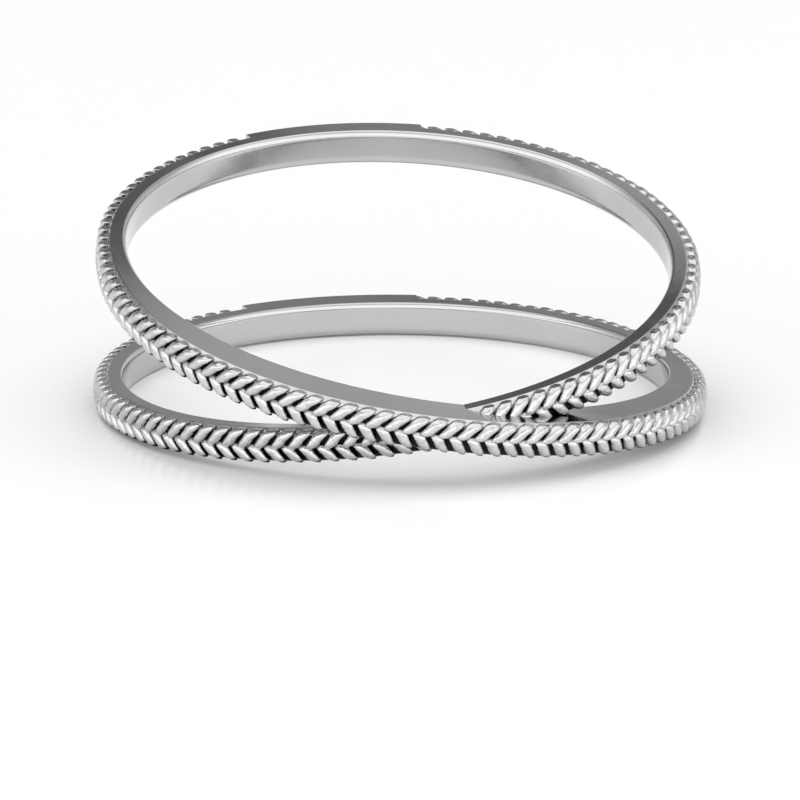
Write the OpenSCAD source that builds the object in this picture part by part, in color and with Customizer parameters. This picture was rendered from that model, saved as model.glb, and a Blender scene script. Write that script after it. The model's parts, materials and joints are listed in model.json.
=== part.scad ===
/* [Ring] */
// Diameter of the finger hole
hole_d = 17.3; // [15.5:0.1:20]
// Half of the distance between the two passes at the back
rise = 2.98; // [2.6:0.02:3.3]
// Width of the band along the finger
band_w = 1.1; // [0.95:0.01:1.25]
// Radial thickness of the smooth base below the braid
base_t = 0.53; // [0.45:0.01:0.65]
// Radial thickness of the plain shank at the back
shank_t = 0.86; // [0.8:0.01:0.95]
// Half of the angle that the plain shank covers at the back
shank_half = 18; // [12:0.5:24]
// Height of the slope on the rounded inner edges
edge_h = 0.2; // [0.1:0.01:0.3]
// Depth of the slope on the rounded inner edges
edge_t = 0.05; // [0.04:0.005:0.08]
// Lean of the finger axis when the ring lies on its side
rest_lean = 5.8; // [5:0.1:7]

/* [Crossing] */
// Extra thickness of the upper strand where it passes over the lower one
lift = 1; // [0.8:0.02:1.2]
// Extra fullness of that thicker stretch half way down
lift_full = 0.14; // [0:0.01:0.2]
// Angle from the crossing at which the extra thickness ends
lift_span = 104; // [90:1:120]

/* [Braid] */
// Height of the braid above the base
braid_h = 0.46; // [0.36:0.01:0.5]
// Number of V shapes on the upper strand
upper_count = 98; // [80:2:100]
// Number of V shapes on the lower strand
lower_count = 92; // [80:2:96]
// How far the arms of a V lean back along the band
arm_lean = 0.5; // [0.2:0.01:0.6]

/* [Hidden] */
hole_r = hole_d / 2;
half_w = band_w / 2;
// height above the base, and so the radius, at which the lengths of the braid are taken
braid_mid = 0.3;
path_r = hole_r + base_t + braid_mid;
// the finger hole is trued by a drill that is longer than the ring is high; its wall is made of
// arcs, and every second arc is a hair wider, so each arc of the wall stays a face of its own;
// the arcs are turned a little, so none of them ends exactly at the crossing
drill_h = 6 * rise;
drill_sides = 180;
arc_n = 12;
arc_turn = 7.3;
hair = 0.01;
// stations on each plain end, and the angle of the small step beside them
plain_n = 7;
step_a = 0.15;
// fine stations to each coarse one on the inner side
cell_n = 2;
// stations over which the lean of the arms fades out beside the shank
fade_n = 8;
// rounds in which an angle is closed in on
rounds = 6;

// outline of the braid from the top edge to the middle, on a strand and between strands;
// the columns are the share of the half width and the share of the braid height
across = 0;
high = 1;
on_strand = [[1, 0], [0.9, 0.06], [0.96, 0.22], [0.9, 0.66], [0.52, 0.94], [0.05, 1]];
between = [[1, 0], [0.9, 0.06], [0.86, 0.2], [0.72, 0.4], [0.44, 0.56], [0.05, 0.64]];
// shares of the half width for the same points on the plain shank
on_shank = [1, 0.95, 0.9, 0.75, 0.4, 0.05];
side_n = len(on_strand);
outer_n = 2 * side_n;
// points of one station on the inner side
inner_n = 3;

// extra thickness at an angle from the crossing
function lift_at(a) = abs(a) < lift_span
    ? lift * (1 + cos(180 * a / lift_span)) / 2 + lift_full * (1 - cos(360 * a / lift_span)) / 2
    : 0;

// part of the length that the extra thickness adds
function lift_length(a) = let (b = min(abs(a), lift_span), u = 180 * b / lift_span)
    sign(a) * (PI * b / 360 * (lift + lift_full)
        + lift_span / 360 * (lift * sin(u) - lift_full * sin(2 * u) / 2));

function length_at(a, lifted) = path_r * a * PI / 180 + lifted * lift_length(a);

// angle at a given length, closed in on step by step
function angle_at(l, lifted, a = 0, n = rounds) = n == 0 ? a
    : angle_at(l, lifted, (l - lifted * lift_length(a)) / path_r * 180 / PI, n - 1);

function place(a, r, z, side) = [r * sin(a), -r * cos(a), z + side * rise * sin(a / 2)];

// one turn of the band from back to back; side gives the direction in which it climbs
module turn(side, lifted, count) {
    last_a = 180 - shank_half;
    end_l = length_at(last_a, lifted);
    step_l = end_l / count;
    first = plain_n + 1;
    stations = 2 * count + 2 * first;

    // angle of a station, with the lean of the arms at a share f of the half width
    function station_a(i, f) =
        i < first ? -180 + i * (shank_half - step_a) / plain_n
        : i > stations - first ? 180 - (stations - i) * (shank_half - step_a) / plain_n
        : let (k = i - first, fade = min(1, k / fade_n, (2 * count - k) / fade_n))
            angle_at(-end_l + k * step_l + f * arm_lean * fade, lifted);
    function plain(i) = i < first || i > stations - first;

    // points from the top edge over the braid to the bottom edge
    function outer_point(i, j) =
        let (top = j < side_n,
            m = top ? j : outer_n - 1 - j,
            way = top ? 1 : -1,
            strand = ((i + lifted) % 2 == 1) == top,
            p = strand ? on_strand[m] : between[m],
            a = station_a(i, on_strand[m][across]),
            r = plain(i) ? hole_r + shank_t
                : hole_r + base_t + lifted * lift_at(a) + p[high] * braid_h)
        place(a, r, way * (plain(i) ? on_shank[m] : p[across]) * half_w, side);

    // points on the two inner edges, and one inside the hole that the drill takes off
    function inner_point(k, j) = let (a = station_a(k * cell_n, 1))
        j == 1 ? place(a, hole_r + edge_t - edge_t / edge_h * half_w, 0, side)
        : place(a, hole_r + edge_t, (1 - j) * half_w, side);

    cells = stations / cell_n;
    outer_total = (stations + 1) * outer_n;
    points = concat(
        [for (i = [0:stations]) for (j = [0:outer_n - 1]) outer_point(i, j)],
        [for (k = [0:cells]) for (j = [0:inner_n - 1]) inner_point(k, j)]);
    function o(i, j) = i * outer_n + j;
    function n(k, j) = outer_total + k * inner_n + j;
    low = outer_n - 1;

    strip = [for (i = [0:stations - 1]) for (j = [0:outer_n - 2]) each [
        [o(i, j), o(i + 1, j), o(i + 1, j + 1)],
        [o(i, j), o(i + 1, j + 1), o(i, j + 1)]]];
    // the flat side faces join fine stations outside to coarse ones inside
    flats = [for (k = [0:cells - 1]) let (i = k * cell_n, mid = i + cell_n / 2) each concat(
        [for (q = [i:mid - 1]) each [
            [n(k, 0), o(q + 1, 0), o(q, 0)],
            [n(k, 2), o(q, low), o(q + 1, low)]]],
        [[n(k, 0), n(k + 1, 0), o(mid, 0)], [n(k, 2), o(mid, low), n(k + 1, 2)]],
        [for (q = [mid:i + cell_n - 1]) each [
            [n(k + 1, 0), o(q + 1, 0), o(q, 0)],
            [n(k + 1, 2), o(q, low), o(q + 1, low)]]])];
    inside = [for (k = [0:cells - 1]) for (j = [0:1]) each [
        [n(k, j), n(k, j + 1), n(k + 1, j + 1)],
        [n(k, j), n(k + 1, j + 1), n(k + 1, j)]]];
    caps = [
        concat([n(0, 1), n(0, 0)], [for (j = [0:low]) o(0, j)], [n(0, 2)]),
        concat([n(cells, 1), n(cells, 2)], [for (j = [low:-1:0]) o(stations, j)], [n(cells, 0)])];
    polyhedron(points, concat(strip, flats, inside, caps));
}

module drill() {
    cylinder(h = drill_h, r = hole_r, center = true, $fn = drill_sides);
    for (i = [0:2:arc_n - 1])
        rotate([0, 0, i * 360 / arc_n + arc_turn])
        rotate_extrude(angle = 360 / arc_n, $fn = drill_sides)
        translate([0, -drill_h / 2]) square([hole_r + hair, drill_h]);
}

module ring() {
    color([0.85, 0.86, 0.87])
    rotate([rest_lean, 0, 0])
    difference() {
        union() {
            turn(-1, 1, upper_count);
            turn(1, 0, lower_count);
        }
        drill();
    }
}

ring();
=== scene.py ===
import json
import math
import bmesh
import bpy
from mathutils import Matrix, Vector


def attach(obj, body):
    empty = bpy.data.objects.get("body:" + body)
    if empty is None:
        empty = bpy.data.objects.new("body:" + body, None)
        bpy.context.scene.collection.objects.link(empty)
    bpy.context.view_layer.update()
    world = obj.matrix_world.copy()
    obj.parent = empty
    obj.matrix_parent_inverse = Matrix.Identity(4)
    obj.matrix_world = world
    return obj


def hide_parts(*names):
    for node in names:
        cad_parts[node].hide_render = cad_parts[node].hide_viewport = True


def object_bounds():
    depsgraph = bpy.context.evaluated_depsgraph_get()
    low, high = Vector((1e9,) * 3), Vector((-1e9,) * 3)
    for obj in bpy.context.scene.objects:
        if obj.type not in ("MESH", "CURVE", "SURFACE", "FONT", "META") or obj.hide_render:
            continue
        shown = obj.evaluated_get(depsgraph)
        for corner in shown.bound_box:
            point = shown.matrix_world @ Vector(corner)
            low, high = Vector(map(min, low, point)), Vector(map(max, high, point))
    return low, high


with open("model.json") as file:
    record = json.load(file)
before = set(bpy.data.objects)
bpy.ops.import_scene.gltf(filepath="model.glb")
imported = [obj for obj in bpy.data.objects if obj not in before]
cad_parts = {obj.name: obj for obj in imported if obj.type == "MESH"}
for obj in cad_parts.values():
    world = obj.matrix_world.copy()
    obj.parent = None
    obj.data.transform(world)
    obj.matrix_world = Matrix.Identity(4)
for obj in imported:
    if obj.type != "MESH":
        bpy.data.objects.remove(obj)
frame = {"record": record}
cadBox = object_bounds()
mount = frame["record"]["mounts"][0]  # the finger hole
fingerAxis = Vector(mount["axis"])
holeRadius = mount["dims"]["r_mm"]
fingerLean = math.atan2(-fingerAxis.y, fingerAxis.z)
mm = 0.001
print("ring: frame loaded, finger hole", round(2 * holeRadius, 2), "mm")

ring = {  # mm and degrees, the same for band and braid
    "rise": 2.98,  # half of the gap between the passes at the back
    "baseThick": 0.53,
    "shankThick": 0.86,
    "shankHalf": 18.0,  # half of the angle that the plain shank covers
    "shankStep": 0.15,  # angle taken up by the small step where the shank begins
    "lift": 1.0,  # extra thickness of the upper strand at the crossing
    "liftFull": 0.14,  # extra fullness of that thicker stretch half way down
    "liftSpan": 104.0,  # angle from the crossing at which the extra thickness ends
    "lengthRadius": 9.48,  # radius at which lengths along the braid are taken
    "rounds": 8,  # rounds in which an angle is closed in on
}
braidEnd = 180 - ring["shankHalf"]


def linearColour(text):
    # sRGB hex to linear light
    parts = [int(text[i:i + 2], 16) / 255 for i in (1, 3, 5)]
    return [p / 12.92 if p <= 0.04045 else ((p + 0.055) / 1.055) ** 2.4 for p in parts] + [1]


def addNode(tree, kind, inputs=None, **settings):
    node = tree.nodes.new(kind)
    for name, value in settings.items():
        setattr(node, name, value)
    for name, value in (inputs or {}).items():
        if isinstance(value, bpy.types.NodeSocket):
            tree.links.new(value, node.inputs[name])
        else:
            node.inputs[name].default_value = value
    return node


def mathsFor(tree):
    # maths nodes in one tree, fed with numbers or with other nodes
    def maths(operation, *values, clamp=False):
        node = addNode(tree, "ShaderNodeMath", dict(enumerate(values)), operation=operation,
                       use_clamp=clamp)
        return node.outputs[0]

    return maths


def fillCurve(node, points, straight=False):
    line = node.mapping.curves[0]
    while len(line.points) < len(points):
        line.points.new(0.5, 0.5)  # anywhere, as it is moved below
    for point, target in zip(line.points, points):
        point.location = target
        if straight:
            point.handle_type = "VECTOR"
    node.mapping.update()
    return node.outputs[0]


def extraThickness(angle):
    if abs(angle) >= ring["liftSpan"]:
        return 0.0
    turn = math.pi * angle / ring["liftSpan"]
    return ring["lift"] * (1 + math.cos(turn)) / 2 + ring["liftFull"] * (1 - math.cos(2 * turn)) / 2


def extraLength(angle):
    part = min(abs(angle), ring["liftSpan"])
    turn = math.pi * part / ring["liftSpan"]
    grown = math.radians(part) * (ring["lift"] + ring["liftFull"]) / 2
    wave = ring["lift"] * math.sin(turn) - ring["liftFull"] * math.sin(2 * turn) / 2
    return math.copysign(grown + ring["liftSpan"] / 360 * wave, angle)


def lengthAt(angle, lifted):
    return ring["lengthRadius"] * math.radians(angle) + lifted * extraLength(angle)


def angleAt(length, lifted):
    angle = 0.0
    for _ in range(ring["rounds"]):
        angle = math.degrees((length - lifted * extraLength(angle)) / ring["lengthRadius"])
    return angle


def ringPoint(angle, radius, across, side):
    # a point of one turn, leant over as the ring lies; side is the direction in which the turn climbs
    a = math.radians(angle)
    y = -radius * math.cos(a)
    z = across + side * ring["rise"] * math.sin(a / 2)
    c, s = math.cos(fingerLean), math.sin(fingerLean)
    return Vector((radius * math.sin(a), y * c - z * s, y * s + z * c)) * mm


silver = {
    "polished": ("#B6B6B6", "#BDBDBD"),  # colours where the haze is thick and thin
    "braid": ("#A2A2A2", "#DBDBDB"),
    # near-black painted shade for the slots between the strands and the groove under them
    "paintedShade": "#242425",
    "polishedRough": (0.08, 0.16),
    "paintedShadeRough": (0.4, 0.6),
    "braidRough": (0.1, 0.26),
    "bandMarks": 900,  # haze in marks of about 1 mm
    "braidMarks": 5500,  # marks of about 0.2 mm
    "markDetail": 3,
    "markRange": (0.3, 0.7),  # the haze values between which the roughness changes
    "rippleScale": 6000,  # unevenness that the wheel leaves, about 0.15 mm across
    "rippleDetail": 2,
    "rippleDepth": 0.02 * mm,
    "bandRipple": 0.04,  # share of that depth which shows
    "braidRipple": 1.0,
    "paintedShadeRange": (0.28, 0.68),  # the depths in a slot between which the metal takes the painted shade
}


def silverBase(name, colours, roughness, marks, rippled):
    # cast and then polished on a soft wheel: bright, with a faint uneven haze that softens reflections
    material = bpy.data.materials.new(name)
    material.use_nodes = True
    tree = material.node_tree
    tree.nodes.clear()
    place = addNode(tree, "ShaderNodeTexCoord").outputs["Object"]
    haze = addNode(tree, "ShaderNodeTexNoise", {
        "Vector": place, "Scale": marks, "Detail": silver["markDetail"]}).outputs["Fac"]
    rough = addNode(tree, "ShaderNodeMapRange", {
        "Value": haze, "From Min": silver["markRange"][0], "From Max": silver["markRange"][1],
        "To Min": roughness[0], "To Max": roughness[1]}).outputs["Result"]
    dull, bright = [linearColour(colour) for colour in colours]
    tint = addNode(tree, "ShaderNodeMix", {
        "Factor": haze, "A": dull, "B": bright}, data_type="RGBA").outputs["Result"]
    ripple = addNode(tree, "ShaderNodeTexNoise", {
        "Vector": place, "Scale": silver["rippleScale"], "Detail": silver["rippleDetail"]}).outputs["Fac"]
    bump = addNode(tree, "ShaderNodeBump", {
        "Height": ripple, "Strength": rippled, "Distance": silver["rippleDepth"]}).outputs["Normal"]
    shader = addNode(tree, "ShaderNodeBsdfPrincipled", {
        "Base Color": tint, "Roughness": rough, "Normal": bump, "Metallic": 1.0})
    addNode(tree, "ShaderNodeOutputMaterial", {"Surface": shader.outputs["BSDF"]})
    return material, shader, tint


def polishedSilver():
    # the flats, walls and shank: buffed last, so they mirror the studio in broad even greys
    return silverBase("polished sterling silver", silver["polished"], silver["polishedRough"],
                      silver["bandMarks"], silver["bandRipple"])[0]


def shadedSlotSilver():
    # painted shade: a near-black, rougher silver put on the low places, so the grooves look almost black
    return silverBase("silver with painted slot shade", (silver["paintedShade"], silver["paintedShade"]), silver["paintedShadeRough"],
                      silver["bandMarks"], silver["bandRipple"])[0]


def braidSilver():
    # polished silver with painted shade between the strands; the wheel misses parts, so it is mottled
    material, shader, tint = silverBase("polished silver braid with dark slots", silver["braid"],
                                        silver["braidRough"], silver["braidMarks"], silver["braidRipple"])
    tree = material.node_tree
    # how deep in a slot each point lies, which sets how much painted shade it takes
    depth = addNode(tree, "ShaderNodeAttribute", attribute_name="paintedShadeDepth").outputs["Fac"]
    soft = addNode(tree, "ShaderNodeMapRange", {
        "Value": depth, "From Min": silver["paintedShadeRange"][0], "From Max": silver["paintedShadeRange"][1]},
        interpolation_type="SMOOTHSTEP")
    dark = addNode(tree, "ShaderNodeMix", {
        "Factor": soft.outputs["Result"], "A": tint, "B": linearColour(silver["paintedShade"])}, data_type="RGBA")
    tree.links.new(dark.outputs["Result"], shader.inputs["Base Color"])
    return material


polished = polishedSilver()
shadedSlotMetal = shadedSlotSilver()
braided = braidSilver()
print("ring: metals made")

band = {  # mm and degrees; the outlines are pairs of across and up
    # the soft inner edge, up from the wall of the hole
    "edge": [(0.27, 0), (0.33, 0), (0.37, 0.002), (0.41, 0.011), (0.445, 0.025), (0.48, 0.043),
             (0.515, 0.067), (0.54, 0.092), (0.55, 0.115), (0.55, 0.14)],
    # the outer edge and the floor under the strands, up from the top of the base
    "rim": [(0.55, -0.04), (0.55, -0.015), (0.547, -0.004), (0.54, 0.003)],
    "bed": [(0.525, 0.018), (0.51, 0.05), (0.47, 0.10), (0.34, 0.13), (0.24, 0.14), (0.14, 0.18),
            (0.06, 0.24), (0, 0.27)],
    "darkBelow": 0.36,  # the painted shade on the bed ends here towards the upper edge
    "darkAbove": -0.56,  # and takes in the whole lower edge
    "stepAngle": 1.0,
    "shankSteps": 17,  # steps from each end of the braid to the back
    "sharpAngle": 50.0,  # an edge sharper than this shows as an edge
    "crossAngle": 6.0,  # the same where the two turns meet
}


def bandSection(angle, lifted):
    plain = abs(angle) > braidEnd + ring["shankStep"] / 2
    top = ring["shankThick"] if plain else ring["baseThick"] + lifted * extraThickness(angle)
    half = list(band["edge"]) + [(w, top + h) for w, h in band["rim"]]
    half += [(w, top if plain else top + h) for w, h in band["bed"]]
    return half + [(-w, h) for w, h in reversed(half[:-1])]


def bandAngles():
    count = round(braidEnd / band["stepAngle"])
    braidAngles = [braidEnd * i / count for i in range(-count, count + 1)]
    shankStart = braidEnd + ring["shankStep"]
    steps = band["shankSteps"]
    shank = [shankStart + (180 - shankStart) * i / steps for i in range(steps + 1)]
    return [-a for a in reversed(shank)] + braidAngles + shank


def bandTurn(name, side, lifted, firstSlot):
    shape = bmesh.new()
    angles = bandAngles()
    rows = []
    for angle in angles:
        section = bandSection(angle, lifted)
        rows.append([shape.verts.new(ringPoint(angle, holeRadius + h, w, side)) for w, h in section])
    widths = [w for w, h in bandSection(0, lifted)]
    count = len(widths)
    for i in range(len(rows) - 1):
        inBraid = abs(angles[i] + angles[i + 1]) / 2 < braidEnd
        for j in range(count):
            k = (j + 1) % count
            face = shape.faces.new((rows[i][j], rows[i][k], rows[i + 1][k], rows[i + 1][j]))
            outside = len(band["edge"]) <= j < count - len(band["edge"]) - 1
            onBed = widths[j] < band["darkBelow"] and widths[k] > band["darkAbove"]
            # bed faces in the braid take the metal with painted slot shade
            face.material_index = firstSlot + (1 if inBraid and outside and onBed else 0)
            face.smooth = True
    shape.faces.new(reversed(rows[0]))
    shape.faces.new(rows[-1])
    if shape.calc_volume(signed=True) < 0:
        bmesh.ops.reverse_faces(shape, faces=shape.faces)
    mesh = bpy.data.meshes.new(name)
    shape.to_mesh(mesh)
    shape.free()
    for _ in range(2):  # a pair of slots for each turn, so that the line where they cross can be found
        mesh.materials.append(polished)
        mesh.materials.append(shadedSlotMetal)
    piece = bpy.data.objects.new(name, mesh)
    bpy.context.scene.collection.objects.link(piece)
    return piece


def creaseEdges(mesh):
    shape = bmesh.new()
    shape.from_mesh(mesh)
    for edge in shape.edges:
        if len(edge.link_faces) == 2:
            one, other = edge.link_faces
            turnsMeet = one.material_index // 2 != other.material_index // 2
            limit = band["crossAngle"] if turnsMeet else band["sharpAngle"]
            edge.smooth = math.degrees(edge.calc_face_angle(0)) < limit
    for face in shape.faces:
        face.material_index %= 2
    shape.to_mesh(mesh)
    shape.free()
    mesh.materials.pop()
    mesh.materials.pop()


def plainMesh(source, name):
    graph = bpy.context.evaluated_depsgraph_get()
    mesh = bpy.data.meshes.new_from_object(source.evaluated_get(graph), depsgraph=graph)
    mesh.name = name
    piece = bpy.data.objects.new(name, mesh)
    bpy.context.scene.collection.objects.link(piece)
    return piece


def windingBand():
    upper = bandTurn("upperTurn", -1, 1, 0)
    lower = bandTurn("lowerTurn", 1, 0, 2)
    join = upper.modifiers.new("join", "BOOLEAN")
    join.operation = "UNION"
    join.solver = "MANIFOLD"
    join.object = lower
    piece = plainMesh(upper, "windingBand")
    creaseEdges(piece.data)
    for old in (upper, lower):
        bpy.data.objects.remove(old)
    return piece


windingPiece = windingBand()
print("ring: band made,", len(windingPiece.data.polygons), "faces")

braid = {  # mm
    "upperCount": 98,  # V shapes on the upper strand
    "lowerCount": 92,
    "height": 0.46,
    "overlap": 0.10,  # the inner ends run past the middle
    "topThick": 0.20,
    "sunkThick": 0.25,
    "groove": 0.10,  # share of the thickness by which the crown of a strand is hollowed
    "tip": 0.16,  # share of the length that is rounded at the inner end
    "leastTaper": 0.35,  # a rounded end keeps this share of its width
    "slotShade": 0.55,  # how fast the painted shade deepens down the side of a strand
    "tipFade": 0.16,  # share of the length over which the shade of an outer tip sets in
    "upperShift": -0.20,  # the whole row moved along the band
    "lowerShift": 0.0,
    "hidden": 2.5,  # degrees beside the crossing where the lower braid is inside the upper band
    # height of the crown from the middle outwards, in shares of length and height
    "profile": [(0, 0.65), (0.08, 0.87), (0.2, 1), (0.62, 0.945), (0.95, 0.82), (1, 0.74)],
    "sizes": (0.985, 1.015),  # the strands differ by this much
    "sides": 10,
    "rings": 7,
    "seed": 5,
}

# mm and shares; the row above the middle leans more than the one below it. Reach is how far a strand goes
# across and Lean how far it has gone along the band by then, with a bend where Bow isn't 1. Flare is the
# share by which it widens, End the share of its length that closes outwards, and Blunt the width that stays
# there. From Tip From on, the strand takes the shade Dark
braidRows = {
    "Upper": {"Reach": 0.53, "Lean": 0.49, "Bow": 1.05, "Offset": 0.0, "Half Width": 0.228, "Flare": 0.3,
              "End": 0.16, "Blunt": 0.62, "Tip From": 0.52, "Dark": 0.0},
    "Lower": {"Reach": 0.535, "Lean": 0.36, "Bow": 1.1, "Offset": 0.09, "Half Width": 0.23, "Flare": -0.1,
              "End": 0.35, "Blunt": 0.35, "Tip From": 0.82, "Dark": 1.0},
}


def braidPath(curve, side, lifted, count, first, last, shift):
    endLength = lengthAt(braidEnd, lifted)
    points = []
    for k in range(first, last):
        angle = angleAt(-endLength + k * endLength / count + shift, lifted)
        radius = holeRadius + ring["baseThick"] + lifted * extraThickness(angle)
        points.append(ringPoint(angle, radius, 0, side))
    spline = curve.splines.new("POLY")
    spline.points.add(len(points) - 1)
    for target, point in zip(spline.points, points):
        target.co = (*point, 1)


def braidCurve():
    curve = bpy.data.curves.new("braidPath", "CURVE")
    curve.dimensions = "3D"
    up, low = braid["upperCount"], braid["lowerCount"]
    braidPath(curve, -1, 1, up, 0, 2 * up, braid["upperShift"])
    strandPitch = lengthAt(braidEnd, 0) / low
    # what is left out on each side of the crossing is counted in whole V shapes, two strands each
    gap = math.ceil(lengthAt(braid["hidden"], 0) / strandPitch / 2) * 2
    braidPath(curve, 1, 0, low, 0, low - gap + 1, braid["lowerShift"])
    braidPath(curve, 1, 0, low, low + gap - 1, 2 * low, braid["lowerShift"])
    path = bpy.data.objects.new("braidPath", curve)
    bpy.context.scene.collection.objects.link(path)
    return path


def roundEnd(maths, left):
    # how wide a round end is where this share of it is left
    return maths("SQRT", maths("SUBTRACT", 1.0, maths("MULTIPLY", left, left)))


def strandShape(tree, given, row, way):
    # a capped rod, bent and shaped by where each point lies along and round it
    maths = mathsFor(tree)
    rod = addNode(tree, "GeometryNodeMeshCylinder", {
        "Vertices": given["Sides"], "Side Segments": given["Rings"], "Radius": 1.0, "Depth": 1.0})
    position = tree.nodes.new("GeometryNodeInputPosition").outputs[0]
    spot = addNode(tree, "ShaderNodeSeparateXYZ", {0: position}).outputs
    even = maths("ADD", spot["Z"], 0.5, clamp=True)
    along = addNode(tree, "ShaderNodeMapRange", {
        "Value": even}, interpolation_type="SMOOTHSTEP").outputs[0]
    across = addNode(tree, "ShaderNodeMapRange", {
        "Value": along, "To Min": maths("MULTIPLY", given["Overlap"], -1.0),
        "To Max": given[row + " Reach"]}).outputs[0]
    outer = maths("DIVIDE", maths("MAXIMUM", across, 0.0), given[row + " Reach"])
    leaning = maths("MULTIPLY", maths("POWER", outer, given[row + " Bow"]), given[row + " Lean"])
    middle = maths("ADD", leaning, given[row + " Offset"])

    # rounded towards both ends
    inward = maths("SUBTRACT", 1.0, maths("DIVIDE", along, given["Tip"], clamp=True))
    rounded = roundEnd(maths, inward)
    fromEnd = maths("DIVIDE", maths("SUBTRACT", 1.0, along), given[row + " End"], clamp=True)
    closing = roundEnd(maths, maths("SUBTRACT", 1.0, fromEnd))
    blunted = maths("MAXIMUM", closing, given[row + " Blunt"])
    taper = maths("MAXIMUM", maths("MULTIPLY", rounded, blunted), braid["leastTaper"])

    # its crown falls outwards and is a little hollow
    crown = fillCurve(addNode(tree, "ShaderNodeFloatCurve", {"Value": along}), braid["profile"])
    top = maths("MULTIPLY", crown, given["Height"])
    upward = maths("GREATER_THAN", spot["Y"], 0.0)
    thick = addNode(tree, "ShaderNodeMix", {
        "Factor": upward, "A": given["Sunk Thickness"], "B": given["Top Thickness"]}).outputs["Result"]
    outerSquare = maths("MULTIPLY", outer, outer)
    fuller = maths("ADD", 1.0, maths("MULTIPLY", outerSquare, given[row + " Flare"]))
    halfWidth = maths("MULTIPLY", given[row + " Half Width"], fuller)
    wide = maths("MULTIPLY", maths("MULTIPLY", spot["X"], taper), halfWidth)
    beside = maths("SUBTRACT", 1.0, maths("ABSOLUTE", spot["X"]))
    dip = maths("MULTIPLY", maths("MULTIPLY", beside, beside), given["Groove"])
    raised = maths("SUBTRACT", spot["Y"], maths("MULTIPLY", dip, upward))
    deep = maths("MULTIPLY", maths("MULTIPLY", raised, taper), thick)
    height = maths("ADD", maths("SUBTRACT", top, given["Top Thickness"]), deep)
    bent = addNode(tree, "ShaderNodeCombineXYZ", {
        "X": maths("ADD", middle, wide), "Y": maths("MULTIPLY", across, way), "Z": height})
    metres = addNode(tree, "ShaderNodeVectorMath", {0: bent.outputs[0], "Scale": mm}, operation="SCALE")

    # how deep the painted shade lies: down beside the strand, none on an upper outer tip, all on a lower
    # one
    low = maths("MULTIPLY", maths("SUBTRACT", 1.0, spot["Y"]), braid["slotShade"])
    tipped = addNode(tree, "ShaderNodeMapRange", {
        "Value": along, "From Min": given[row + " Tip From"],
        "From Max": maths("ADD", given[row + " Tip From"], braid["tipFade"])}).outputs[0]
    paintedShadeDepth = addNode(tree, "ShaderNodeMix", {
        "Factor": tipped, "A": low, "B": given[row + " Dark"]}).outputs["Result"]
    marked = addNode(tree, "GeometryNodeStoreNamedAttribute", {
        "Geometry": rod.outputs["Mesh"], "Name": "paintedShadeDepth", "Value": paintedShadeDepth},
        data_type="FLOAT", domain="POINT")
    strand = addNode(tree, "GeometryNodeSetPosition", {
        "Geometry": marked.outputs[0], "Position": metres.outputs[0]})
    side = addNode(tree, "GeometryNodeSetShadeSmooth", {
        "Geometry": strand.outputs[0], "Selection": rod.outputs["Side"]})
    ends = addNode(tree, "GeometryNodeSetShadeSmooth", {
        "Geometry": side.outputs[0], "Selection": rod.outputs["Top"], "Shade Smooth": False})
    if way < 0:
        return ends
    # bending it upwards turned it inside out
    return addNode(tree, "GeometryNodeFlipFaces", {"Mesh": ends.outputs[0]})


def strandTree():
    tree = bpy.data.node_groups.new("strandsAlongPath", "GeometryNodeTree")
    tree.is_modifier = True
    maths = mathsFor(tree)

    def addInput(name, kind):
        tree.interface.new_socket(name, in_out="INPUT", socket_type="NodeSocket" + kind)

    addInput("Geometry", "Geometry")
    addInput("Axis", "Vector")
    rowNames = [row + " " + name for row in braidRows for name in braidRows[row]]
    for name in ["Overlap", "Top Thickness", "Sunk Thickness", "Groove", "Height", "Tip"] + rowNames:
        addInput(name, "Float")
    for name in ("Sides", "Rings", "Seed"):
        addInput(name, "Int")
    addInput("Metal", "Material")
    tree.interface.new_socket("Geometry", in_out="OUTPUT", socket_type="NodeSocketGeometry")
    given = tree.nodes.new("NodeGroupInput").outputs

    # the path: each point carries a strand, in turn on the upper and the lower side
    points = addNode(tree, "GeometryNodeCurveToPoints", {"Curve": given["Geometry"]}, mode="EVALUATED")
    position = tree.nodes.new("GeometryNodeInputPosition").outputs[0]
    reach = addNode(tree, "ShaderNodeVectorMath", {
        0: position, 1: given["Axis"]}, operation="PROJECT")
    outward = addNode(tree, "ShaderNodeVectorMath", {
        0: position, 1: reach.outputs[0]}, operation="SUBTRACT")
    turned = addNode(tree, "FunctionNodeAxesToRotation", {
        "Primary Axis": points.outputs["Tangent"], "Secondary Axis": outward.outputs[0]},
        primary_axis="X", secondary_axis="Z")
    index = tree.nodes.new("GeometryNodeInputIndex").outputs[0]
    odd = maths("FLOORED_MODULO", index, 2.0)
    even = maths("LESS_THAN", odd, 0.5)
    smallest, largest = braid["sizes"]
    size = addNode(tree, "FunctionNodeRandomValue", {
        2: smallest, 3: largest, "ID": index, "Seed": given["Seed"]})
    both = addNode(tree, "GeometryNodeJoinGeometry")
    for row, way, chosen in (("Upper", 1.0, odd), ("Lower", -1.0, even)):
        shape = strandShape(tree, given, row, way)
        placed = addNode(tree, "GeometryNodeInstanceOnPoints", {
            "Points": points.outputs["Points"], "Selection": chosen, "Instance": shape.outputs[0],
            "Rotation": turned.outputs[0], "Scale": size.outputs[1]})
        tree.links.new(placed.outputs[0], both.inputs[0])
    real = addNode(tree, "GeometryNodeRealizeInstances", {"Geometry": both.outputs[0]})
    metal = addNode(tree, "GeometryNodeSetMaterial", {
        "Geometry": real.outputs[0], "Material": given["Metal"]})
    addNode(tree, "NodeGroupOutput", {0: metal.outputs[0]})
    return tree


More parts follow.
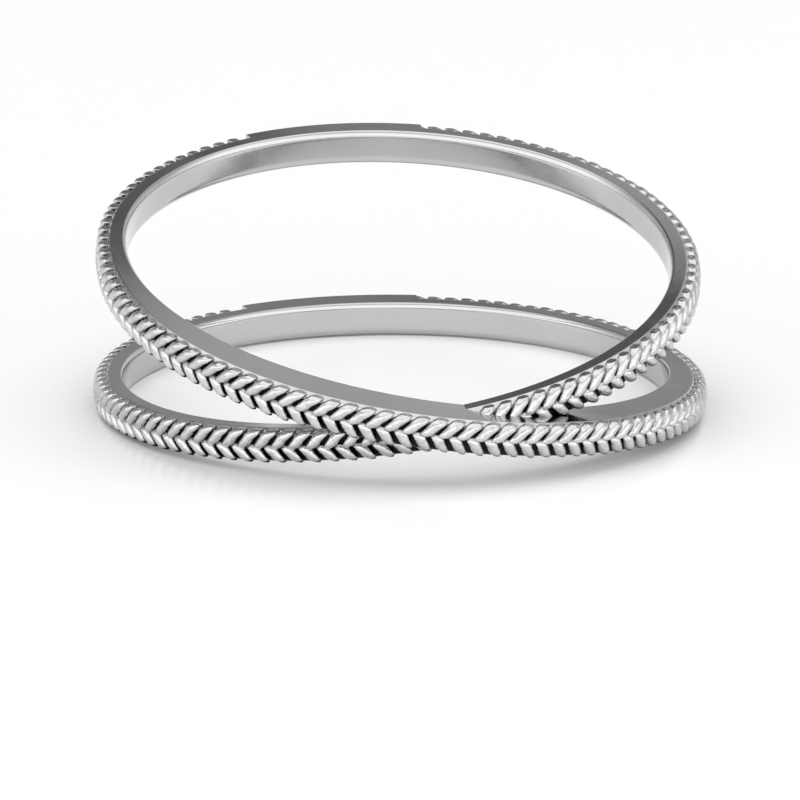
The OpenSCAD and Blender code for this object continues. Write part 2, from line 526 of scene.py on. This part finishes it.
def braidPiece():
    path = braidCurve()
    modifier = path.modifiers.new("braid", "NODES")
    modifier.node_group = strandTree()
    values = {
        "Axis": tuple(fingerAxis), "Metal": braided, "Overlap": braid["overlap"],
        "Top Thickness": braid["topThick"], "Sunk Thickness": braid["sunkThick"],
        "Groove": braid["groove"], "Height": braid["height"], "Tip": braid["tip"],
        "Sides": braid["sides"], "Rings": braid["rings"], "Seed": braid["seed"]}
    for row in braidRows:
        for name in braidRows[row]:
            values[row + " " + name] = braidRows[row][name]
    for item in modifier.node_group.interface.items_tree:
        if item.in_out == "INPUT" and item.name in values:
            modifier[item.identifier] = values[item.name]
    piece = plainMesh(path, "braidedStrands")
    while piece.data.materials[0] is None:  # the path's own empty slot
        piece.data.materials.pop(index=0)
    bpy.data.objects.remove(path)
    return piece


braidStrands = braidPiece()
print("ring: braid made,", len(braidStrands.data.polygons), "faces")

for piece in (windingPiece, braidStrands):
    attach(piece, "root")
    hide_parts("ring")

studio = {
    "floorSize": 4.0,  # metres
    "floorColour": "#FAFAFA",
    "floorGloss": 0.25,
    "boxStrength": 0.95,  # the lamp overhead
    "frontStrength": 1.1,  # the lamps in front and at the sides
    "cardSpan": (-60, 60),  # the degrees that a curve covers
    "roundSpan": (-180, 180),
    "upSpan": (-20, 90),
    # pairs of degrees and brightness, or darkness for a card; across is counted from behind the ring
    "boxUp": [(-20, 0.0), (48, 0.0), (57, 1.0), (78, 1.0), (90, 0.7)],
    "frontAcross": [(-180, 1.0), (-100, 1.0), (-70, 0.0), (70, 0.0), (100, 1.0), (180, 1.0)],
    "frontUp": [(-20, 0.0), (2, 0.0), (6, 1.0), (38, 1.0), (46, 0.0), (90, 0.0)],
    "restUp": [(-20, 0.9), (0, 0.9), (18, 0.85), (25, 0.66), (50, 0.66), (90, 0.66)],
    "lowCardAcross": [(-60, 0.0), (-28, 1.0), (5, 1.0), (7.5, 0.25), (14, 0.15), (24, 0.0), (60, 0.0)],
    "lowCardUp": [(-20, 0.0), (4, 0.0), (8, 0.59), (18, 0.59), (25, 0.5), (29, 0.5), (33, 0.0), (90, 0.0)],
    "backCardAcross": [(-60, 0.0), (-28, 1.0), (-0.2, 1.0), (0.8, 0.0), (60, 0.0)],
    "backCardUp": [(-20, 0.0), (22.5, 0.0), (24, 0.76), (29, 0.76), (33, 0.0), (90, 0.0)],
    "highCardAcross": [(-60, 0.0), (-28, 1.0), (0.8, 1.0), (2.5, 0.68), (5, 0.36), (7, 0.1), (14, 0.0),
                       (60, 0.0)],
    "highCardUp": [(-20, 0.0), (27, 0.0), (31, 0.75), (46, 0.79), (54, 0.1), (60, 0.0), (90, 0.0)],
}


def studioFloor():
    half = studio["floorSize"] / 2
    low = cadBox[0].z
    corners = [(-half, -half, low), (half, -half, low), (half, half, low), (-half, half, low)]
    mesh = bpy.data.meshes.new("studioFloor")
    mesh.from_pydata(corners, [], [(0, 1, 2, 3)])
    floor = bpy.data.objects.new("studioFloor", mesh)
    bpy.context.scene.collection.objects.link(floor)
    # cast acrylic sheet, glossy enough for a soft sheen beside the ring's shadow
    material = bpy.data.materials.new("pale studio acrylic")
    material.use_nodes = True
    shader = material.node_tree.nodes["Principled BSDF"]
    shader.inputs["Base Color"].default_value = linearColour(studio["floorColour"])
    shader.inputs["Roughness"].default_value = studio["floorGloss"]
    mesh.materials.append(material)


def rampCurve(tree, value, name, span):
    low, high = studio[span]
    share = addNode(tree, "ShaderNodeMapRange", {"Value": value, "From Min": low, "From Max": high})
    node = addNode(tree, "ShaderNodeFloatCurve", {"Value": share.outputs[0]})
    return fillCurve(node, [((x - low) / (high - low), y) for x, y in studio[name]], straight=True)


def studioLight(cameraAt):
    world = bpy.data.worlds.new("softStudio")
    bpy.context.scene.world = world
    world.use_nodes = True
    tree = world.node_tree
    tree.nodes.clear()
    maths = mathsFor(tree)
    way = addNode(tree, "ShaderNodeTexCoord").outputs["Generated"]
    back = Vector((-cameraAt.x, -cameraAt.y, 0)).normalized()
    right = Vector((back.y, -back.x, 0))
    behind = addNode(tree, "ShaderNodeVectorMath", {
        0: way, 1: back}, operation="DOT_PRODUCT").outputs["Value"]
    aside = addNode(tree, "ShaderNodeVectorMath", {
        0: way, 1: right}, operation="DOT_PRODUCT").outputs["Value"]
    up = addNode(tree, "ShaderNodeSeparateXYZ", {0: way}).outputs["Z"]
    azimuth = maths("DEGREES", maths("ARCTAN2", aside, behind))
    elevation = maths("DEGREES", maths("ARCSINE", up))
    cards = []
    for name in ("lowCard", "backCard", "highCard"):  # dark cards behind the ring, which its flats mirror
        wide = rampCurve(tree, azimuth, name + "Across", "cardSpan")
        tall = rampCurve(tree, elevation, name + "Up", "upSpan")
        cards.append(maths("MULTIPLY", wide, tall))
    shade = maths("MAXIMUM", maths("MAXIMUM", cards[0], cards[1]), cards[2])
    box = maths("MULTIPLY", rampCurve(tree, elevation, "boxUp", "upSpan"), studio["boxStrength"])
    front = maths("MULTIPLY", rampCurve(tree, azimuth, "frontAcross", "roundSpan"),
                  rampCurve(tree, elevation, "frontUp", "upSpan"))
    lamps = maths("ADD", box, maths("MULTIPLY", front, studio["frontStrength"]))
    sky = maths("ADD", lamps, rampCurve(tree, elevation, "restUp", "upSpan"))
    glow = addNode(tree, "ShaderNodeBackground", {
        "Color": (1, 1, 1, 1), "Strength": maths("MULTIPLY", sky, maths("SUBTRACT", 1.0, shade))})
    addNode(tree, "ShaderNodeOutputWorld", {"Surface": glow.outputs[0]})


photo = {  # the camera fitted to the ring's edges in the photo
    "at": (-91.54, -376.23, 100.33),  # mm
    "towards": (0.102, -0.0248, -2.452),
    "lens": 565.04,
    "sensor": 36.0,
    "nearest": 0.01,  # metres
    "farthest": 20,
}


def photoCamera():
    data = bpy.data.cameras.new("photoCamera")
    data.lens = photo["lens"]
    data.sensor_width = photo["sensor"]
    data.clip_start = photo["nearest"]
    data.clip_end = photo["farthest"]
    camera = bpy.data.objects.new("photoCamera", data)
    bpy.context.scene.collection.objects.link(camera)
    camera.location = Vector(photo["at"]) * mm
    aim = Vector(photo["towards"]) * mm - camera.location
    camera.rotation_euler = aim.to_track_quat("-Z", "Y").to_euler()
    bpy.context.scene.camera = camera
    return camera


studioFloor()
camera = photoCamera()
studioLight(camera.location)
bpy.context.scene.view_settings.view_transform = "Standard"
print("ring: studio made")
